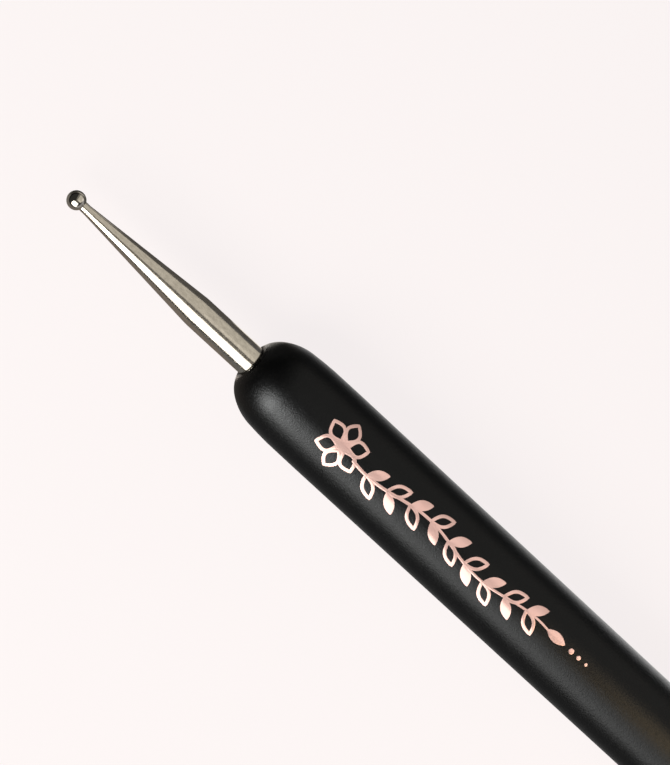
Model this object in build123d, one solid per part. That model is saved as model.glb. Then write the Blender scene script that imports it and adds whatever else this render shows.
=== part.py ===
from build123d import *
from math import asin, cos, degrees, radians, sin, sqrt, tan
import os

# A double-ended ball stylus that lies on its side. All lengths are in millimetres.
# X runs along the tool, with the small ball toward -X, and Z points up. The origin lies on the surface
# that the barrel rests on, midway between the outer ends of the two balls.

# Handle: a straight barrel with a rounded nose at each end
handle_diameter = 8.0
handle_length = 95.0            # from the mouth of one bore to the mouth of the other
nose_fade_radius = 34.0         # the long arc that eases out of the straight barrel
nose_shoulder_radius = 4.8      # the arc that follows it
nose_fade_angle = 5.6           # where the first arc ends, in degrees from the axis
nose_shoulder_angle = 35.0      # where the second arc ends
nose_mouth_angle = 69.0         # where the last arc meets the mouth
countersink_width = 0.27        # from the wall of the bore out to the lip of the mouth
countersink_angle = 45.0        # from the axis, in degrees
lip_round = 0.05

# Shank: the plated steel shank that both ends share
shank_diameter = 2.7
tip_reach = 20.0                # from the mouth to the outer end of the ball
neck_length = 0.5
shoulder_round = 8.0            # where the cone runs into the cylinder
tang_length = 14.0              # the part inside the handle
tang_chamfer = 0.3
groove_count = 3
groove_width = 0.8
groove_depth = 0.15

# Glue: the film round the tang, and the pool between the tang and the end of the bore
glue_film = 0.05
glue_pool = 0.6
drill_point_angle = 59.0        # from the axis, in degrees

# The two ends: the ball, the neck under it and the cone behind the neck
ends = {
    "front": {"ball_diameter": 1.6, "neck_diameter": 0.85, "cone_length": 12.0},
    "rear": {"ball_diameter": 2.5, "neck_diameter": 1.4, "cone_length": 11.0},
}

# Sizes that follow from those above
handle_radius = handle_diameter / 2
shank_radius = shank_diameter / 2
bore_radius = shank_radius + glue_film
bore_depth = tang_length + glue_pool
drill_point = bore_radius / tan(radians(drill_point_angle))
mouth_radius = bore_radius + countersink_width
countersink_depth = countersink_width / tan(radians(countersink_angle))


def drop_share(start_angle, end_angle):
    """How far an arc of the nose comes in toward the axis, as a share of its radius."""
    return cos(radians(start_angle)) - cos(radians(end_angle))


def run_share(start_angle, end_angle):
    """How far an arc of the nose goes along the axis, as a share of its radius."""
    return sin(radians(end_angle)) - sin(radians(start_angle))


# The last arc of the nose has the radius that lands it on the lip of the mouth
nose_tip_radius = (
    handle_radius
    - mouth_radius
    - nose_fade_radius * drop_share(0, nose_fade_angle)
    - nose_shoulder_radius * drop_share(nose_fade_angle, nose_shoulder_angle)
) / drop_share(nose_shoulder_angle, nose_mouth_angle)
nose_length = (
    nose_fade_radius * run_share(0, nose_fade_angle)
    + nose_shoulder_radius * run_share(nose_fade_angle, nose_shoulder_angle)
    + nose_tip_radius * run_share(nose_shoulder_angle, nose_mouth_angle)
)
barrel_length = handle_length - 2 * nose_length


def turned(outline):
    """The solid that an outline in the XY plane sweeps round the X axis."""
    return revolve(outline, Axis.X)


def make_handle():
    """The bar with its two noses, drilled and countersunk from both ends, as one turned outline."""
    mouth_x = -handle_length / 2
    with BuildSketch() as outline:
        with BuildLine():
            barrel = Line((0, handle_radius), (-barrel_length / 2, handle_radius))
            fade = JernArc(barrel @ 1, barrel % 1, nose_fade_radius, nose_fade_angle)
            shoulder = JernArc(
                fade @ 1, fade % 1, nose_shoulder_radius, nose_shoulder_angle - nose_fade_angle
            )
            tip = JernArc(
                shoulder @ 1, shoulder % 1, nose_tip_radius, nose_mouth_angle - nose_shoulder_angle
            )
            Polyline(
                tip @ 1,
                (mouth_x + countersink_depth, bore_radius),
                (mouth_x + bore_depth, bore_radius),
                (mouth_x + bore_depth + drill_point, 0),
                (0, 0),
            )
            mirror(about=Plane.YZ)
        make_face()
        by_x = outline.vertices().group_by(Axis.X)
        fillet(by_x[0] + by_x[-1], lip_round)
    return turned(outline.sketch)


def make_ball(end):
    """The ball, with the mouth of its bore at x = 0 and the tip toward -X."""
    radius = end["ball_diameter"] / 2
    return Pos(radius - tip_reach, 0, 0) * Sphere(radius)


def make_shank(end):
    """Neck, cone, cylinder and grooved tang as one turned outline, with a cup at its end that fits the ball."""
    ball_radius = end["ball_diameter"] / 2
    neck_radius = end["neck_diameter"] / 2
    ball_x = ball_radius - tip_reach
    neck_x = ball_x + sqrt(ball_radius**2 - neck_radius**2) + neck_length
    cone_x = neck_x + end["cone_length"]
    cup_angle = degrees(asin(neck_radius / ball_radius))
    groove_pitch = tang_length / (groove_count + 1)
    with BuildSketch() as outline:
        with BuildLine():
            cup = CenterArc((ball_x, 0), ball_radius, 0, cup_angle)
            Polyline(
                cup @ 1,
                (neck_x, neck_radius),
                (cone_x, shank_radius),
                (tang_length - tang_chamfer, shank_radius),
                (tang_length, shank_radius - tang_chamfer),
                (tang_length, 0),
                cup @ 0,
            )
        make_face()
        cone_end = outline.vertices().sort_by_distance((cone_x, shank_radius))[0]
        fillet(cone_end, shoulder_round)
        with Locations([((i + 1) * groove_pitch, shank_radius) for i in range(groove_count)]):
            Rectangle(groove_width, 2 * groove_depth, mode=Mode.SUBTRACT)
    return turned(outline.sketch)


def make_adhesive(shank):
    """The glue that fills the bore below its countersink, wherever the tang leaves room."""
    with BuildSketch() as outline:
        with BuildLine():
            Polyline(
                (countersink_depth, 0),
                (countersink_depth, bore_radius),
                (bore_depth, bore_radius),
                (bore_depth + drill_point, 0),
                close=True,
            )
        make_face()
    return turned(outline.sketch) - shank


def to_mouth(name, piece):
    """Move a piece that was made at a mouth to its own end of the tool."""
    at_front = Pos(-handle_length / 2, 0, handle_radius) * piece
    return at_front if name == "front" else Rot(0, 0, 180) * at_front


os.makedirs("parts", exist_ok=True)
export_step(Pos(0, 0, handle_radius) * make_handle(), "parts/handle.step")
for name, end in ends.items():
    shank = make_shank(end)
    export_step(to_mouth(name, make_ball(end)), f"parts/{name}_ball.step")
    export_step(to_mouth(name, shank), f"parts/{name}_shank.step")
    export_step(to_mouth(name, make_adhesive(shank)), f"parts/{name}_adhesive.step")
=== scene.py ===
from math import asin, atan2, cos, hypot, pi, radians, sin, tan

import bmesh
import bpy
from mathutils import Matrix, Vector


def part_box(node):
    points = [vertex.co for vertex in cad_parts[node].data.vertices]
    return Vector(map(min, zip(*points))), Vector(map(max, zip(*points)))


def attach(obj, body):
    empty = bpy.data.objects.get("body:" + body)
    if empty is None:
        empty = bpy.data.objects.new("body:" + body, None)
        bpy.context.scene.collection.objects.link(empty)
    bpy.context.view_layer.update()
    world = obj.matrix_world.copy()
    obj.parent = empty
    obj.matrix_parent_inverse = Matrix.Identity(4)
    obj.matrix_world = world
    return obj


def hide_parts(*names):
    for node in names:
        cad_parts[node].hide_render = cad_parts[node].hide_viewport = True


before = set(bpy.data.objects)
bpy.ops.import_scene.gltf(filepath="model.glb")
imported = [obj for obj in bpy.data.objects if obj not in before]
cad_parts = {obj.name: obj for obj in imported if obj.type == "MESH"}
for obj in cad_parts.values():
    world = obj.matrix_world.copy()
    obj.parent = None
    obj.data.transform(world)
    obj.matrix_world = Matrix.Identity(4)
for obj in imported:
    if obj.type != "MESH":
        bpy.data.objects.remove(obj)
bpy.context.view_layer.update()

# A double-ended ball stylus that lies on a pale floor. Lengths are in metres, in the frame of the packed
# model: X runs along the tool with the small ball toward -X, and Z points up from the floor.
mm = 0.001

# Places and sizes that the frame gives
handle_low, handle_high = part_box("handle")
axis_z = (handle_low.z + handle_high.z) / 2
foil_radius = (handle_high.z - handle_low.z) / 2

# Handle. Its coat is slimmer than the solid by the foil that lies on it, and its lips are a little rounder.
foil_film = 0.012 * mm
coat_radius = foil_radius - foil_film
mouth_x = 47.5 * mm
nose_fade_radius = 34.0 * mm
nose_shoulder_radius = 4.8 * mm
nose_fade_angle = radians(5.6)
nose_shoulder_angle = radians(35.0)
nose_mouth_angle = radians(69.0)
lip_round = 0.09 * mm
countersink_width = 0.27 * mm
countersink_depth = countersink_width   # its sides slope at 45 degrees

# Shanks, and the bores that hold them
shank_radius = 1.35 * mm
neck_length = 0.5 * mm
shoulder_round = 8.0 * mm
tang_length = 14.0 * mm
tang_chamfer = 0.3 * mm
groove_count = 3
groove_width = 0.8 * mm
groove_depth = 0.15 * mm
glue_film = 0.05 * mm
glue_pool = 0.6 * mm
glue_clearance = 0.002 * mm             # between the glue and the wall of its bore
drill_point_angle = radians(59.0)
bore_radius = shank_radius + glue_film
mouth_radius = bore_radius + countersink_width
tang_end_x = -mouth_x + tang_length
bore_end_x = tang_end_x + glue_pool

# The two ends: which way each points along X, the radius of its neck and the length of its cone
ends = {
    "front": {"way": -1, "neck_radius": 0.425 * mm, "cone_length": 12.0 * mm},
    "rear": {"way": 1, "neck_radius": 0.70 * mm, "cone_length": 11.0 * mm},
}

# Foil decoration: a sprig with a blossom. Its drawing is flat, with u along the tool and v round it.
stroke = 0.28 * mm
blossom_u = -38.2 * mm
blossom_petals = 6
blossom_centre = 0.62 * mm
petal_foot = 0.45 * mm
petal_length = 1.75 * mm
petal_half_width = 0.62 * mm
stem_start = 1.5 * mm
stem_end_u = -15.2 * mm
stem_sway = 0.42 * mm
stem_wave = 12.5 * mm
stem_taper_share = 0.35
leaf_pairs = 9
first_leaf = 3.0 * mm
leaf_pitch = 2.2 * mm
leaf_length = 2.05 * mm
leaf_half_width = 0.44 * mm
leaf_angle = radians(38)
leaf_fullness = 0.8                     # below 1, a filled leaf is fuller than a sine
bud_radii = (0.24 * mm, 0.19 * mm, 0.14 * mm)
first_bud = 0.75 * mm
bud_pitch = 0.85 * mm

# Across a band of foil: a share of its half width, and the height over the coat there as a share of the film
foil_section_shares = (
    (-1.0, -1.0),
    (-1.0, 0.45),
    (-0.6, 1.0),
    (0.0, 1.0),
    (0.6, 1.0),
    (1.0, 0.45),
    (1.0, -1.0),
)

# How finely the pieces are divided
handle_sides = 240
shank_sides = 144
ball_sides = 112
ball_steps = 72
cup_steps = 8
glue_steps = 10
arc_step = radians(2.0)
neck_pitch = 0.25 * mm
barrel_pitch = 2.0 * mm
stem_steps = 120
leaf_steps = 18
leaf_inset = 0.3                        # how far in from its ends a filled leaf starts, in steps
dot_steps = 16
cap_steps = 5

# An edge that turns by more than this is sharp
turned_sharp_angle = radians(28)
foil_sharp_angle = radians(40)

# Coat: the sizes and depths of its marks, its colours, and its roughness
coat_blotch = 1.6 * mm
coat_peel = 0.33 * mm
coat_peel_depth = 0.012 * mm
coat_grain = 0.12 * mm
coat_grain_depth = 0.02 * mm
coat_dust = 0.16 * mm
coat_dust_levels = (0.70, 0.78)
coat_dust_share = 0.35
coat_dust_colour = (0.014, 0.013, 0.012, 1)
coat_colours = ((0.0004, 0.0004, 0.0005, 1), (0.0012, 0.0012, 0.0012, 1))
coat_specular = 0.31
coat_tint = (0.84, 0.90, 1.0, 1)
coat_roughness = (0.31, 0.36)
coat_roughness_grain = (-0.10, 0.10)

# Wear on the lips of the two mouths: where it starts and where it is full, and how much it smooths
wear_start_x = mouth_x - 0.25 * mm
wear_full_x = mouth_x - 0.12 * mm
wear_start_radius = 2.10 * mm
wear_full_radius = 1.85 * mm
wear_polish = 0.24

# Plating: the sizes of its marks along and across the tool, their depths, its colours, and its roughness
ring_along = 0.05 * mm
ring_across = 1.5 * mm
ring_depth = 0.0006 * mm
wave_along = 0.55 * mm
wave_across = 0.40 * mm
wave_depth = 0.0045 * mm
patina_along = 0.45 * mm
patina_across = 0.20 * mm
patina_levels = (0.35, 0.75)
patina_colour = (0.60, 0.57, 0.52, 1)
plating_grain = 0.11 * mm
plating_grain_depth = 0.001 * mm
plating_stain = 1.9 * mm
plating_colours = ((0.80, 0.765, 0.70, 1), (0.88, 0.845, 0.78, 1))
plating_roughness = (0.14, 0.18)
plating_roughness_grain = (-0.12, 0.14)

# Steel of the balls
scratch_along = 0.9 * mm
scratch_across = 0.05 * mm
scratch_depth = 0.0006 * mm
ball_cloud = 0.5 * mm
ball_colours = ((0.72, 0.69, 0.63, 1), (0.80, 0.77, 0.71, 1))
ball_roughness = (0.05, 0.11)

# Glue
glue_ripple = 0.25 * mm
glue_ripple_depth = 0.01 * mm
glue_colours = ((0.020, 0.018, 0.015, 1), (0.045, 0.040, 0.034, 1))
glue_roughness = (0.18, 0.35)

# Foil
foil_crinkle = 0.14 * mm
foil_crinkle_depth = 0.003 * mm
foil_cloud = 0.8 * mm
foil_colours = ((0.76, 0.485, 0.465, 1), (0.86, 0.605, 0.585, 1))
foil_metallic = 0.52
foil_roughness = (0.17, 0.23)
foil_roughness_crinkle = (-0.04, 0.04)

# Camera. The tool's axis leans toward it by the tilt. The start of the barrel lands on its pixel.
picture_size = (670, 765)
focal_pixels = 3729.0
camera_distance = 300 * mm
camera_tilt = radians(14.0)
barrel_start = Vector((-40.864 * mm, 0, axis_z))
barrel_start_pixel = Vector((310.3, 415.9))
axis_in_picture = Vector((0.7333, 0.6799))
sensor_width = 36.0                     # in millimetres, as Blender has it
clip_start = 10 * mm
clip_end = 20000 * mm

# Floor and world. The camera sees both pale, and the floor also takes the tool's shadow.
pale = (0.956, 0.905, 0.905, 1)
floor_side = 6000 * mm
floor_faces = 12
floor_mottle = 400 * mm
floor_colours = ((0.78, 0.735, 0.735, 1), (0.80, 0.755, 0.755, 1))
floor_glow_share = 0.92
room_colour = (0.020, 0.019, 0.018, 1)

# Painted reflections. What mirrors see of the floor is a glow of its own, mostly darker than what the camera
# sees, with brighter patches painted where they put rim highlights and glints on the handle, shank and ball.
# Each edge of a patch has an axis, the place where the patch has faded out and the place where it is full.
# The key side is toward -Y, and the fill side toward +Y.
painted_reflection_patches = {
    "along_handle": (("X", -47.0 * mm, -44.5 * mm), ("X", 47.0 * mm, 44.5 * mm)),
    "under_handle": (
        ("X", -50.5 * mm, -49.0 * mm),
        ("X", 50.5 * mm, 49.0 * mm),
        ("Y", -2.9 * mm, -2.3 * mm),
        ("Y", 4.6 * mm, 3.7 * mm),
    ),
    "fill_side": (("Y", -0.5 * mm, 0.5 * mm),),
    "toward_rear": (("X", -35.0 * mm, 5.0 * mm),),
    "key_strip": (("Y", -9.0 * mm, -5.5 * mm), ("Y", 0.5 * mm, -0.5 * mm)),
    "ball_wash": (
        ("X", -74.0 * mm, -71.0 * mm),
        ("X", -60.0 * mm, -63.0 * mm),
        ("Y", 6.0 * mm, 10.0 * mm),
        ("Y", 40.0 * mm, 30.0 * mm),
    ),
    "key_side": (("Y", 2.0 * mm, -2.0 * mm),),
    "beside_shank": (("Y", 2.0 * mm, -2.0 * mm), ("X", -46.0 * mm, -49.0 * mm)),
    "by_ball": (("X", -65.0 * mm, -67.0 * mm), ("Y", 0, 2.0 * mm)),
    "near_tool": (("X", -92.0 * mm, -76.0 * mm),),
    "beyond_rear": (("X", 46.0 * mm, 50.0 * mm),),
    "behind_ball": (("X", -68.5 * mm, -65.5 * mm),),
}

# The fan, a painted reflection: a strip of floor that glows only to mirrors, beside the handle on the fill
# side, which widens and grows stronger toward the rear. It paints the rim highlight along the handle's fill
# side.
fan_slope = 0.075
fan_faded = 13.2 * mm
fan_full = 7.6 * mm
fan_strength = 0.8
fan_growth = 0.7

# How strongly the painted reflection patches glow, and their hues. The strength below 0 by the ball paints
# shade into reflections there, and the brown hue paints a warm reflection beside the shank on the key side.
key_strip_strength = 0.15
ball_wash_strength = 0.38
floor_strength = 0.09
key_side_strength = 0.05
beside_shank_strength = 0.06
# painted shade: this patch darkens the reflections beside the ball
by_ball_strength = -0.04
beyond_rear_strength = 0.42
handle_hue = (1.0, 0.985, 0.97, 1)
shank_hue = (1.0, 0.93, 0.84, 1)
brown_hue = (1.0, 0.85, 0.73, 1)

# Painted reflection of the world: its shares of the pale colour, and the directions in which mirrors see it
# brighter
world_share = 0.012
world_rear_share = 0.36
world_rear_x = (0.42, 0.68)
world_low_z = (0.65, 0.25)

# Softboxes. Each is a flat panel along X, between a low edge and a high edge given as (y, z).
key_colour = (1.0, 0.95, 0.85)
beige = (1.0, 0.925, 0.79)
softboxes = {
    "key_softbox": {
        "x": (-150 * mm, 130 * mm),
        "low": (-277 * mm, 99 * mm),
        "high": (-81 * mm, 287 * mm),
        "radiance": 2.3,
        "colour": key_colour,
    },
    "key_softbox_foot": {
        "x": (-150 * mm, 130 * mm),
        "low": (-277 * mm, 100 * mm),
        "high": (-190 * mm, 184 * mm),
        "radiance": 1.85,
        "colour": key_colour,
    },
    "key_softbox_core": {
        "x": (-188 * mm, -28 * mm),
        "low": (-238 * mm, 138 * mm),
        "high": (-122 * mm, 248 * mm),
        "radiance": 11.4,
        "colour": key_colour,
    },
    "dim_ceiling": {
        "x": (-150 * mm, 130 * mm),
        "low": (-81 * mm, 287 * mm),
        "high": (50 * mm, 360 * mm),
        "radiance": 0.10,
        "colour": (1.0, 0.90, 0.76),
    },
    "beige_reflector": {
        "x": (-90 * mm, 260 * mm),
        "low": (320 * mm, 20 * mm),
        "high": (50 * mm, 360 * mm),
        "radiance": 0.53,
        "colour": beige,
    },
    "beige_reflector_end": {
        "x": (-170 * mm, -90 * mm),
        "low": (320 * mm, 20 * mm),
        "high": (50 * mm, 360 * mm),
        "radiance": 0.18,
        "colour": beige,
    },
    "beige_reflector_top": {
        "x": (10 * mm, 260 * mm),
        "low": (170 * mm, 330 * mm),
        "high": (50 * mm, 362 * mm),
        "radiance": 0.22,
        "colour": (1.0, 0.92, 0.80),
    },
    "warm_card": {
        "x": (12 * mm, 80 * mm),
        "low": (-22 * mm, 65 * mm),
        "high": (22 * mm, 65 * mm),
        "radiance": 1.42,
        "colour": (1.0, 0.71, 0.39),
        "spread": radians(84),
    },
}


# Shader trees

class Tree:
    """A node tree under construction. Each call to add makes one node and links what its inputs name."""

    def __init__(self, tree):
        self.tree = tree
        tree.nodes.clear()

    def feed(self, socket, value):
        """Link an output to a socket, or give the socket a plain value."""
        if isinstance(value, bpy.types.NodeSocket):
            self.tree.links.new(value, socket)
        else:
            socket.default_value = value

    def add(self, kind, out=0, settings=None, **inputs):
        """One output of a new node. An input goes by its label or, as i0 and up, by its number."""
        node = self.tree.nodes.new(kind)
        for key, value in (settings or {}).items():
            setattr(node, key, value)
        for key, value in inputs.items():
            numbered = key[0] == "i" and key[1:].isdigit()
            self.feed(node.inputs[int(key[1:]) if numbered else key.replace("_", " ")], value)
        return node.outputs[out] if node.outputs else None

    def axes(self, place):
        """The coordinates of a place, by the names X, Y and Z."""
        return self.add("ShaderNodeSeparateXYZ", Vector=place).node.outputs

    def rays(self):
        """1 for rays from the camera, and 1 for rays that something mirrors or lets through."""
        path = self.add("ShaderNodeLightPath").node.outputs
        mirrored = self.math("MAXIMUM", path["Is Glossy Ray"], path["Is Transmission Ray"])
        return path["Is Camera Ray"], mirrored

    def noise(self, place, size, detail=2.0, roughness=0.5):
        """Noise from 0 to 1 whose blotches are about the given size."""
        settings = {"Scale": 1 / size, "Detail": detail, "Roughness": roughness}
        return self.add("ShaderNodeTexNoise", Vector=place, **settings)

    def drawn_noise(self, place, along, across, **quality):
        """Noise whose blotches have one size along the tool and another across it."""
        scale = (1 / along, 1 / across, 1 / across)
        return self.noise(self.add("ShaderNodeMapping", Vector=place, Scale=scale), 1, **quality)

    def math(self, operation, first, second=0.0):
        """One step of arithmetic on one or two values."""
        return self.add("ShaderNodeMath", settings={"operation": operation}, i0=first, i1=second)

    def product(self, first, *others):
        """The values multiplied together."""
        for other in others:
            first = self.math("MULTIPLY", first, other)
        return first

    def total(self, first, *others):
        """The values added up."""
        for other in others:
            first = self.math("ADD", first, other)
        return first

    def between(self, value, low, high):
        """A 0 to 1 value mapped to a range."""
        return self.add("ShaderNodeMapRange", Value=value, To_Min=low, To_Max=high)

    def fade(self, value, start, end):
        """0 at the start and 1 at the end of a stretch, with a smooth run between."""
        smooth = {"interpolation_type": "SMOOTHSTEP"}
        return self.add("ShaderNodeMapRange", settings=smooth, Value=value, From_Min=start, From_Max=end)

    def ramp(self, value, start, end):
        """Black up to the start and white from the end of a stretch, with an even run between."""
        white = self.add("ShaderNodeValToRGB", Fac=value)
        for element, place, level in zip(white.node.color_ramp.elements, (start, end), (0, 1)):
            element.position = place
            element.color = (level, level, level, 1)
        return white

    def bump(self, height, depth, normal=None):
        """Normals of a relief of the given depth, over those of another relief where one is given."""
        under = {"Normal": normal} if normal else {}
        return self.add("ShaderNodeBump", Height=height, Strength=1.0, Distance=depth, **under)

    def mix(self, share, first, second):
        """A mix of two colours. The node's colour sockets are its inputs 6 and 7 and its output 2."""
        return self.add("ShaderNodeMix", 2, {"data_type": "RGBA"}, i0=share, i6=first, i7=second)

    def surface(self, **inputs):
        """The material's one shader, with what its inputs name."""
        self.add("ShaderNodeOutputMaterial", Surface=self.add("ShaderNodeBsdfPrincipled", **inputs))


def new_material(name):
    """A material, its shader tree, and the place of a point in the frame."""
    material = bpy.data.materials.new(name)
    material.use_nodes = True
    tree = Tree(material.node_tree)
    return material, tree, tree.add("ShaderNodeTexCoord", "Object")


def worn_lip(tree, place):
    """1 on the lips of the two mouths, which wear has polished, and 0 elsewhere on the handle."""
    at = tree.axes(place)
    height = tree.math("SUBTRACT", at["Z"], axis_z)
    radius = tree.math("SQRT", tree.total(tree.product(at["Y"], at["Y"]), tree.product(height, height)))
    at_mouth = tree.fade(tree.math("ABSOLUTE", at["X"]), wear_start_x, wear_full_x)
    return tree.product(at_mouth, tree.fade(radius, wear_start_radius, wear_full_radius))


def make_coat():
    """Satin black lacquer, with faint orange peel, a blotchy shine, fine dust, and lips polished by wear."""
    material, tree, place = new_material("satin_black_coat")
    blotch = tree.noise(place, coat_blotch, detail=3.0)
    peel = tree.noise(place, coat_peel)
    grain = tree.noise(place, coat_grain, roughness=0.6)
    dust = tree.ramp(tree.noise(place, coat_dust, detail=1.0), *coat_dust_levels)
    black = tree.mix(blotch, *coat_colours)
    roughness = tree.between(blotch, *coat_roughness)
    roughness = tree.total(roughness, tree.between(grain, *coat_roughness_grain))
    polish = tree.product(worn_lip(tree, place), wear_polish)
    tree.surface(
        Base_Color=tree.mix(tree.product(dust, coat_dust_share), black, coat_dust_colour),
        Roughness=tree.math("SUBTRACT", roughness, polish),
        IOR=1.5,
        Specular_IOR_Level=coat_specular,
        Specular_Tint=coat_tint,
        Normal=tree.bump(grain, coat_grain_depth, tree.bump(peel, coat_peel_depth)),
    )
    return material


def make_plating():
    """Nickel plating over turned steel, with fine rings round it, soft waves, a faint stain and patina."""
    material, tree, place = new_material("nickel_plating")
    rings = tree.drawn_noise(place, ring_along, ring_across, detail=3.0, roughness=0.6)
    waves = tree.drawn_noise(place, wave_along, wave_across)
    grain = tree.noise(place, plating_grain, roughness=0.6)
    stain = tree.noise(place, plating_stain, detail=3.0)
    patina = tree.drawn_noise(place, patina_along, patina_across, detail=3.0, roughness=0.6)
    bright = tree.mix(stain, *plating_colours)
    relief = tree.bump(rings, ring_depth, tree.bump(grain, plating_grain_depth))
    tree.surface(
        Base_Color=tree.mix(tree.ramp(patina, *patina_levels), bright, patina_colour),
        Metallic=1.0,
        Roughness=tree.total(
            tree.between(stain, *plating_roughness), tree.between(grain, *plating_roughness_grain)
        ),
        Normal=tree.bump(waves, wave_depth, relief),
    )
    return material


def make_ball_steel():
    """Polished steel of the balls, with the faint scratches of use."""
    material, tree, place = new_material("polished_ball_steel")
    scratch = tree.drawn_noise(place, scratch_along, scratch_across, roughness=0.7)
    cloud = tree.noise(place, ball_cloud)
    tree.surface(
        Base_Color=tree.mix(cloud, *ball_colours),
        Metallic=1.0,
        Roughness=tree.between(cloud, *ball_roughness),
        Normal=tree.bump(scratch, scratch_depth),
    )
    return material


def make_glue():
    """Cured glue, dark and glossy, with small ripples."""
    material, tree, place = new_material("cured_glue")
    ripple = tree.noise(place, glue_ripple)
    tree.surface(
        Base_Color=tree.mix(ripple, *glue_colours),
        Roughness=tree.between(ripple, *glue_roughness),
        Normal=tree.bump(ripple, glue_ripple_depth),
    )
    return material


def make_foil():
    """Rose gold stamping foil, with a fine crinkle and a cloudy colour."""
    material, tree, place = new_material("rose_gold_foil")
    crinkle = tree.noise(place, foil_crinkle, detail=3.0, roughness=0.6)
    cloud = tree.noise(place, foil_cloud)
    tree.surface(
        Base_Color=tree.mix(cloud, *foil_colours),
        Metallic=foil_metallic,
        Roughness=tree.total(
            tree.between(cloud, *foil_roughness), tree.between(crinkle, *foil_roughness_crinkle)
        ),
        Normal=tree.bump(crinkle, foil_crinkle_depth),
    )
    return material


# Outlines, as points of (x, radius)

def arc(start, heading, radius, turn):
    """Points after the start of an arc, and its last heading. A turn above 0 is to the left."""
    side = 1 if turn > 0 else -1
    centre = (start[0] - side * radius * sin(heading), start[1] + side * radius * cos(heading))
    count = max(2, round(abs(turn) / arc_step))
    points = []
    for i in range(1, count + 1):
        angle = heading + turn * i / count
        points.append((centre[0] + side * radius * sin(angle), centre[1] - side * radius * cos(angle)))
    return points, heading + turn


def rounded(outline, corner, radius):
    """The outline with one corner, given by its index, replaced by a tangent arc."""
    before, at, after = (Vector(outline[corner + i]) for i in (-1, 0, 1))
    come = (at - before).normalized()
    go = (after - at).normalized()
    turn = atan2(come.x * go.y - come.y * go.x, come.dot(go))
    first = at - come * (radius * tan(abs(turn) / 2))
    points, _ = arc(tuple(first), atan2(come.y, come.x), radius, turn)
    return outline[:corner] + [tuple(first)] + points + outline[corner + 1:]


def spread(start, end, pitch):
    """Points after start up to end, about the pitch apart."""
    run = (end[0] - start[0], end[1] - start[1])
    count = max(1, round(hypot(*run) / pitch))
    return [(start[0] + run[0] * i / count, start[1] + run[1] * i / count) for i in range(1, count + 1)]


def make_piece(name, vertices, faces, sharp_angle, material):
    """A smooth mesh in the scene, with its faces turned outward and sharp edges from an angle up."""
    mesh = bpy.data.meshes.new(name)
    mesh.from_pydata(vertices, [], faces)
    piece = bpy.data.objects.new(name, mesh)
    bpy.context.scene.collection.objects.link(piece)
    shape = bmesh.new()
    shape.from_mesh(mesh)
    bmesh.ops.recalc_face_normals(shape, faces=shape.faces)
    shape.to_mesh(mesh)
    shape.free()
    mesh.polygons.foreach_set("use_smooth", [True] * len(mesh.polygons))
    mesh.set_sharp_from_angle(angle=sharp_angle)
    mesh.materials.append(material)
    return piece


def turned(name, outline, sides, material):
    """A closed piece that an outline sweeps round the tool's axis, from pole to pole."""
    vertices = []
    faces = []
    rings = []
    for x, radius in outline:
        if radius == 0:
            rings.append([len(vertices)])
            vertices.append((x, 0, axis_z))
            continue
        rings.append(range(len(vertices), len(vertices) + sides))
        for i in range(sides):
            angle = 2 * pi * i / sides
            vertices.append((x, -radius * sin(angle), axis_z + radius * cos(angle)))
    for first, second in zip(rings, rings[1:]):
        for i in range(sides):
            j = (i + 1) % sides
            if len(first) == 1:
                faces.append((first[0], second[j], second[i]))
            elif len(second) == 1:
                faces.append((first[i], first[j], second[0]))
            else:
                faces.append((first[i], first[j], second[j], second[i]))
    return make_piece(name, vertices, faces, turned_sharp_angle, material)


# Turned pieces

def half_handle():
    """The handle's outline from the point of the front bore, out round the mouth and back to the middle."""
    drop = coat_radius - mouth_radius
    drop -= nose_fade_radius * (1 - cos(nose_fade_angle))
    drop -= nose_shoulder_radius * (cos(nose_fade_angle) - cos(nose_shoulder_angle))
    nose_tip_radius = drop / (cos(nose_shoulder_angle) - cos(nose_mouth_angle))
    nose_length = nose_fade_radius * sin(nose_fade_angle)
    nose_length += nose_shoulder_radius * (sin(nose_shoulder_angle) - sin(nose_fade_angle))
    nose_length += nose_tip_radius * (sin(nose_mouth_angle) - sin(nose_shoulder_angle))
    barrel_end = (-mouth_x + nose_length, coat_radius)
    nose = []
    at = barrel_end
    heading = pi
    for radius, angle in (
        (nose_fade_radius, nose_fade_angle),
        (nose_shoulder_radius, nose_shoulder_angle),
        (nose_tip_radius, nose_mouth_angle),
    ):
        points, heading = arc(at, heading, radius, pi + angle - heading)
        at = points[-1]
        nose += points
    bore = [
        (bore_end_x + bore_radius / tan(drill_point_angle), 0),
        (bore_end_x, bore_radius),
        (-mouth_x + countersink_depth, bore_radius),
    ]
    outline = bore + nose[::-1] + spread(barrel_end, (0, coat_radius), barrel_pitch)
    return rounded(outline, len(bore), lip_round)


def make_handle(material):
    """The coated bar, as its front half and the mirror image of that."""
    half = half_handle()
    whole = half + [(-x, radius) for x, radius in half[-2::-1]]
    piece = turned("coated_handle", whole, handle_sides, material)
    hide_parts("handle")
    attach(piece, "root")


def ball_sizes(name):
    """The place along X and the radius of an end's ball, from the frame."""
    low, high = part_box(f"{name}_ball")
    return (low.x + high.x) / 2, (high.x - low.x) / 2


def at_end(name, outline):
    """An outline that was made for the front, or its mirror image for the rear."""
    way = ends[name]["way"]
    return [(-way * x, radius) for x, radius in outline]


def make_ball(name, material):
    """A ball, as half a circle swept round the axis."""
    centre, radius = ball_sizes(name)
    angles = [pi * i / ball_steps for i in range(1, ball_steps)]
    outline = [(centre - radius, 0)]
    outline += [(centre - radius * cos(angle), radius * sin(angle)) for angle in angles]
    outline.append((centre + radius, 0))
    piece = turned(f"{name}_polished_ball", outline, ball_sides, material)
    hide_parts(f"{name}_ball")
    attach(piece, "root")


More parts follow.
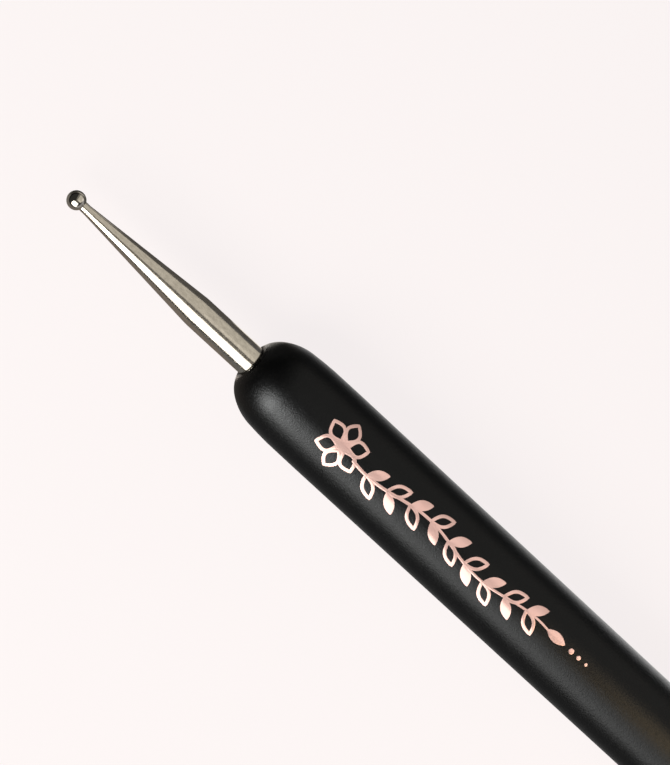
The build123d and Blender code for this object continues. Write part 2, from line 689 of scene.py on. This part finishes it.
def make_shank(name, material):
    """Cup, neck, cone, cylinder and grooved tang."""
    centre, ball_radius = ball_sizes(name)
    ball_x = -abs(centre)
    neck_radius = ends[name]["neck_radius"]
    cup_angle = asin(neck_radius / ball_radius)
    angles = [cup_angle * i / cup_steps for i in range(cup_steps + 1)]
    outline = [(ball_x + ball_radius * cos(angle), ball_radius * sin(angle)) for angle in angles]
    neck_x = outline[-1][0] + neck_length
    outline += spread(outline[-1], (neck_x, neck_radius), neck_pitch)
    shoulder = len(outline)
    outline += [(neck_x + ends[name]["cone_length"], shank_radius), (-mouth_x, shank_radius)]
    outline = rounded(outline, shoulder, shoulder_round)
    groove_pitch = tang_length / (groove_count + 1)
    groove_radius = shank_radius - groove_depth
    for i in range(groove_count):
        left = -mouth_x + (i + 1) * groove_pitch - groove_width / 2
        right = left + groove_width
        outline += [(left, shank_radius), (left, groove_radius)]
        outline += [(right, groove_radius), (right, shank_radius)]
    outline += [
        (tang_end_x - tang_chamfer, shank_radius),
        (tang_end_x, shank_radius - tang_chamfer),
        (tang_end_x, 0),
    ]
    piece = turned(f"{name}_plated_shank", at_end(name, outline), shank_sides, material)
    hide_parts(f"{name}_shank")
    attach(piece, "root")


def make_glue_line(name, material):
    """The glue round the tang. Its open end is a ring that dips between the two walls that it wets."""
    outer = bore_radius - glue_clearance
    inner = shank_radius
    top_x = -mouth_x + countersink_depth
    middle = (outer + inner) / 2
    half = (outer - inner) / 2
    angles = [pi * i / glue_steps for i in range(glue_steps + 1)]
    outline = [(tang_end_x, 0), (tang_end_x, inner)]
    outline += [(top_x + half * sin(angle), middle - half * cos(angle)) for angle in angles]
    outline += [(bore_end_x, outer), (bore_end_x + outer / tan(drill_point_angle), 0)]
    piece = turned(f"{name}_glue_line", at_end(name, outline), shank_sides, material)
    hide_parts(f"{name}_adhesive")
    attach(piece, "root")


# Foil decoration

class Film:
    """Thin bands of foil on the barrel, gathered into one mesh."""

    def __init__(self):
        self.vertices = []
        self.faces = []

    def strip(self, centre, half_widths, closed=False):
        """A band along a line of (u, v) points, with a half width at each. Its edges are pressed in."""
        count = len(centre)
        wide = len(foil_section_shares)
        base = len(self.vertices)
        for i, point in enumerate(centre):
            before = centre[i - 1] if closed or i else point
            after = centre[(i + 1) % count] if closed or i + 1 < count else point
            run = (Vector(after) - Vector(before)).normalized()
            side = Vector((-run.y, run.x)) * half_widths[i]
            for side_share, height_share in foil_section_shares:
                u, v = Vector(point) + side * side_share
                radius = coat_radius + foil_film * height_share
                angle = v / foil_radius
                self.vertices.append((u, -radius * sin(angle), axis_z + radius * cos(angle)))
        for i in range(count if closed else count - 1):
            here = base + i * wide
            there = base + (i + 1) % count * wide
            for j in range(wide):
                k = (j + 1) % wide
                self.faces.append((here + j, there + j, there + k, here + k))
        if not closed:
            last = base + (count - 1) * wide
            self.faces.append(tuple(range(base, base + wide)))
            self.faces.append(tuple(reversed(range(last, last + wide))))

    def cap(self, end, inside, half_width):
        """Points past the end of a stroke that round it off, with the half width at each."""
        run = (Vector(end) - Vector(inside)).normalized()
        angles = [pi / 2 * i / cap_steps for i in range(1, cap_steps)]
        return [(Vector(end) + run * half_width * sin(angle), half_width * cos(angle)) for angle in angles]

    def line(self, centre, taper_share):
        """A stroke with rounded ends that thins toward its far end."""
        last = len(centre) - 1
        halves = [stroke / 2 * (1 - taper_share * i / last) for i in range(last + 1)]
        rows = self.cap(centre[0], centre[1], halves[0])[::-1]
        rows += zip(centre, halves)
        rows += self.cap(centre[-1], centre[-2], halves[-1])
        self.strip(*zip(*rows))

    def dot(self, u, v, radius):
        """A filled round dot, as a band whose half width follows a circle."""
        angles = [pi * (i + 0.5) / (dot_steps + 1) for i in range(dot_steps + 1)]
        self.strip([(u - radius * cos(a), v) for a in angles], [radius * sin(a) for a in angles])

    def leaf(self, u, v, angle, length, half_width, filled):
        """An almond from its foot at (u, v), filled or drawn as an outline."""
        foot = Vector((u, v))
        along = Vector((cos(angle), sin(angle)))
        side = Vector((-along.y, along.x))
        if filled:
            shares = [(i + leaf_inset) / (leaf_steps + 2 * leaf_inset) for i in range(leaf_steps + 1)]
            half_widths = [half_width * sin(pi * share) ** leaf_fullness for share in shares]
            self.strip([foot + along * length * share for share in shares], half_widths)
            return
        out_shares = [i / leaf_steps for i in range(leaf_steps)]
        back_shares = [1 - share for share in out_shares]
        loop = []
        for bulge, shares in ((half_width, out_shares), (-half_width, back_shares)):
            loop += [foot + along * length * share + side * bulge * sin(pi * share) for share in shares]
        self.strip(loop, [stroke / 2] * len(loop), closed=True)


def stem_at(u):
    """The stem's place round the barrel at a place along it."""
    return stem_sway * sin(2 * pi * (u - blossom_u) / stem_wave)


def make_sprig(material):
    """A blossom, a swaying stem with pairs of leaves, a last leaf, and dots that shrink past it."""
    film = Film()
    for i in range(blossom_petals):
        angle = 2 * pi * (i + 0.5) / blossom_petals
        foot_u = blossom_u + petal_foot * cos(angle)
        foot_v = petal_foot * sin(angle)
        film.leaf(foot_u, foot_v, angle, petal_length, petal_half_width, filled=False)
    film.dot(blossom_u, 0, blossom_centre)
    start_u = blossom_u + stem_start
    stem = [start_u + (stem_end_u - start_u) * i / stem_steps for i in range(stem_steps + 1)]
    film.line([(u, stem_at(u)) for u in stem], stem_taper_share)
    for i in range(leaf_pairs):
        u = blossom_u + first_leaf + i * leaf_pitch
        for side in (1, -1):
            filled = (i + (side > 0)) % 2 == 0
            film.leaf(u, stem_at(u), side * leaf_angle, leaf_length, leaf_half_width, filled)
    end_v = stem_at(stem_end_u)
    film.leaf(stem_end_u, end_v, 0, leaf_length, leaf_half_width, filled=True)
    for i, radius in enumerate(bud_radii):
        film.dot(stem_end_u + leaf_length + first_bud + i * bud_pitch, end_v, radius)
    piece = make_piece("rose_gold_sprig", film.vertices, film.faces, foil_sharp_angle, material)
    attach(piece, "root")


# Camera and studio

def make_camera():
    """The camera of the photograph: the start of the barrel lands on its pixel, the axis on its slope."""
    back = Vector((-sin(camera_tilt), 0, cos(camera_tilt)))
    along = Vector((cos(camera_tilt), 0, sin(camera_tilt)))
    across = Vector((0, 1, 0))
    right = along * axis_in_picture.x + across * axis_in_picture.y
    up = across * axis_in_picture.x - along * axis_in_picture.y
    off = (barrel_start_pixel - Vector(picture_size) / 2) * (camera_distance / focal_pixels)
    place = barrel_start - right * off.x + up * off.y + back * camera_distance
    data = bpy.data.cameras.new("photo_camera")
    data.sensor_fit = "AUTO"
    data.sensor_width = sensor_width
    data.lens = focal_pixels * data.sensor_width / max(picture_size)
    data.clip_start = clip_start
    data.clip_end = clip_end
    camera = bpy.data.objects.new("photo_camera", data)
    camera.matrix_world = Matrix.Translation(place) @ Matrix((right, up, back)).transposed().to_4x4()
    bpy.context.scene.collection.objects.link(camera)
    bpy.context.scene.camera = camera


def painted_floor_reflection(tree, place):
    """Painted reflection: the glow that mirrors see on the floor, at its brightest beside and under the
    handle.
    """
    at = tree.axes(place)

    def patch(name):
        """1 within all the edges of a patch, and 0 beyond any of them."""
        return tree.product(*(tree.fade(at[axis], faded, full) for axis, faded, full in painted_reflection_patches[name]))

    along_handle = patch("along_handle")
    beside_shank = patch("beside_shank")
    fan_y = tree.math("SUBTRACT", at["Y"], tree.product(at["X"], fan_slope))
    fan_level = tree.total(tree.product(patch("toward_rear"), fan_growth), fan_strength)
    fan = tree.product(tree.fade(fan_y, fan_faded, fan_full), patch("fill_side"), fan_level)
    key_strip = tree.product(patch("key_strip"), key_strip_strength)
    beside_handle = tree.product(tree.total(fan, key_strip), along_handle)
    ball_wash = tree.product(patch("ball_wash"), ball_wash_strength)
    dim = tree.total(
        tree.product(patch("key_side"), key_side_strength),
        floor_strength,
        tree.product(beside_shank, beside_shank_strength),
        tree.product(patch("by_ball"), by_ball_strength),
    )
    around = tree.total(beside_handle, ball_wash, tree.product(dim, patch("near_tool")))
    beyond_rear = tree.product(patch("beyond_rear"), beyond_rear_strength)
    strength = tree.math("MAXIMUM", around, tree.math("MAXIMUM", patch("under_handle"), beyond_rear))
    hue = tree.mix(along_handle, shank_hue, handle_hue)
    hue = tree.mix(tree.product(beside_shank, patch("behind_ball")), hue, brown_hue)
    return tree.add("ShaderNodeEmission", Color=hue, Strength=strength)


def make_floor():
    """The floor: mostly an even glow to the camera, so that the shadow stays soft and pale; mirrors see a
    painted reflection.
    """
    mesh = bpy.data.meshes.new("studio_floor")
    shape = bmesh.new()
    bmesh.ops.create_grid(shape, x_segments=floor_faces, y_segments=floor_faces, size=floor_side / 2)
    shape.to_mesh(mesh)
    shape.free()
    floor = bpy.data.objects.new("studio_floor", mesh)
    bpy.context.scene.collection.objects.link(floor)
    material, tree, place = new_material("pale_floor")
    from_camera, mirrors = tree.rays()
    paper = tree.mix(tree.noise(place, floor_mottle), *floor_colours)
    lit = tree.add("ShaderNodeBsdfDiffuse", Color=paper)
    glow = tree.add("ShaderNodeEmission", Color=pale, Strength=1.0)
    glow_share = tree.product(from_camera, floor_glow_share)
    direct = tree.add("ShaderNodeMixShader", i0=glow_share, i1=lit, i2=glow)
    # mirrors see the floor's painted reflection, not its lit colour
    both = tree.add("ShaderNodeMixShader", i0=mirrors, i1=direct, i2=painted_floor_reflection(tree, place))
    tree.add("ShaderNodeOutputMaterial", Surface=both)
    mesh.materials.append(material)


def make_world():
    """The world: pale to the camera and dark to the rest, or less dark where it is mirrored at the rear, a
    painted reflection.
    """
    world = bpy.data.worlds.new("studio_world")
    world.use_nodes = True
    bpy.context.scene.world = world
    tree = Tree(world.node_tree)
    from_camera, mirrors = tree.rays()
    way = tree.axes(tree.add("ShaderNodeTexCoord", "Generated"))
    low_at_rear = tree.product(tree.fade(way["X"], *world_rear_x), tree.fade(way["Z"], *world_low_z))
    mirrored_share = tree.total(tree.product(low_at_rear, world_rear_share), world_share)
    pale_share = tree.total(from_camera, tree.product(mirrors, mirrored_share))
    room = tree.add("ShaderNodeBackground", Color=room_colour, Strength=1.0)
    bright = tree.add("ShaderNodeBackground", Color=pale, Strength=1.0)
    both = tree.add("ShaderNodeMixShader", i0=pale_share, i1=room, i2=bright)
    tree.add("ShaderNodeOutputWorld", Surface=both)


def make_softboxes():
    """The lit panels. Each has the same radiance all over, faces the tool and is hidden from the camera."""
    for name, box in softboxes.items():
        left, right = box["x"]
        low, high = (Vector((0, *edge)) for edge in (box["low"], box["high"]))
        wide = Vector((1, 0, 0))
        tall = (high - low).normalized()
        away = wide.cross(tall)
        if away.z < 0:
            wide = -wide
            away = -away
        data = bpy.data.lights.new(name, "AREA")
        data.shape = "RECTANGLE"
        data.size = right - left
        data.size_y = (high - low).length
        data.energy = box["radiance"] * pi * data.size * data.size_y
        data.color = box["colour"]
        data.spread = box.get("spread", pi)
        lamp = bpy.data.objects.new(name, data)
        middle = (low + high) / 2 + Vector(((left + right) / 2, 0, 0))
        lamp.matrix_world = Matrix.Translation(middle) @ Matrix((wide, tall, away)).transposed().to_4x4()
        lamp.visible_camera = False
        bpy.context.scene.collection.objects.link(lamp)


coat = make_coat()
plating = make_plating()
ball_steel = make_ball_steel()
glue = make_glue()
foil = make_foil()

make_camera()
make_handle(coat)
for end_name in ends:
    make_ball(end_name, ball_steel)
    make_shank(end_name, plating)
    make_glue_line(end_name, glue)
make_sprig(foil)
make_floor()
make_world()
make_softboxes()
bpy.context.scene.view_settings.view_transform = "Standard"
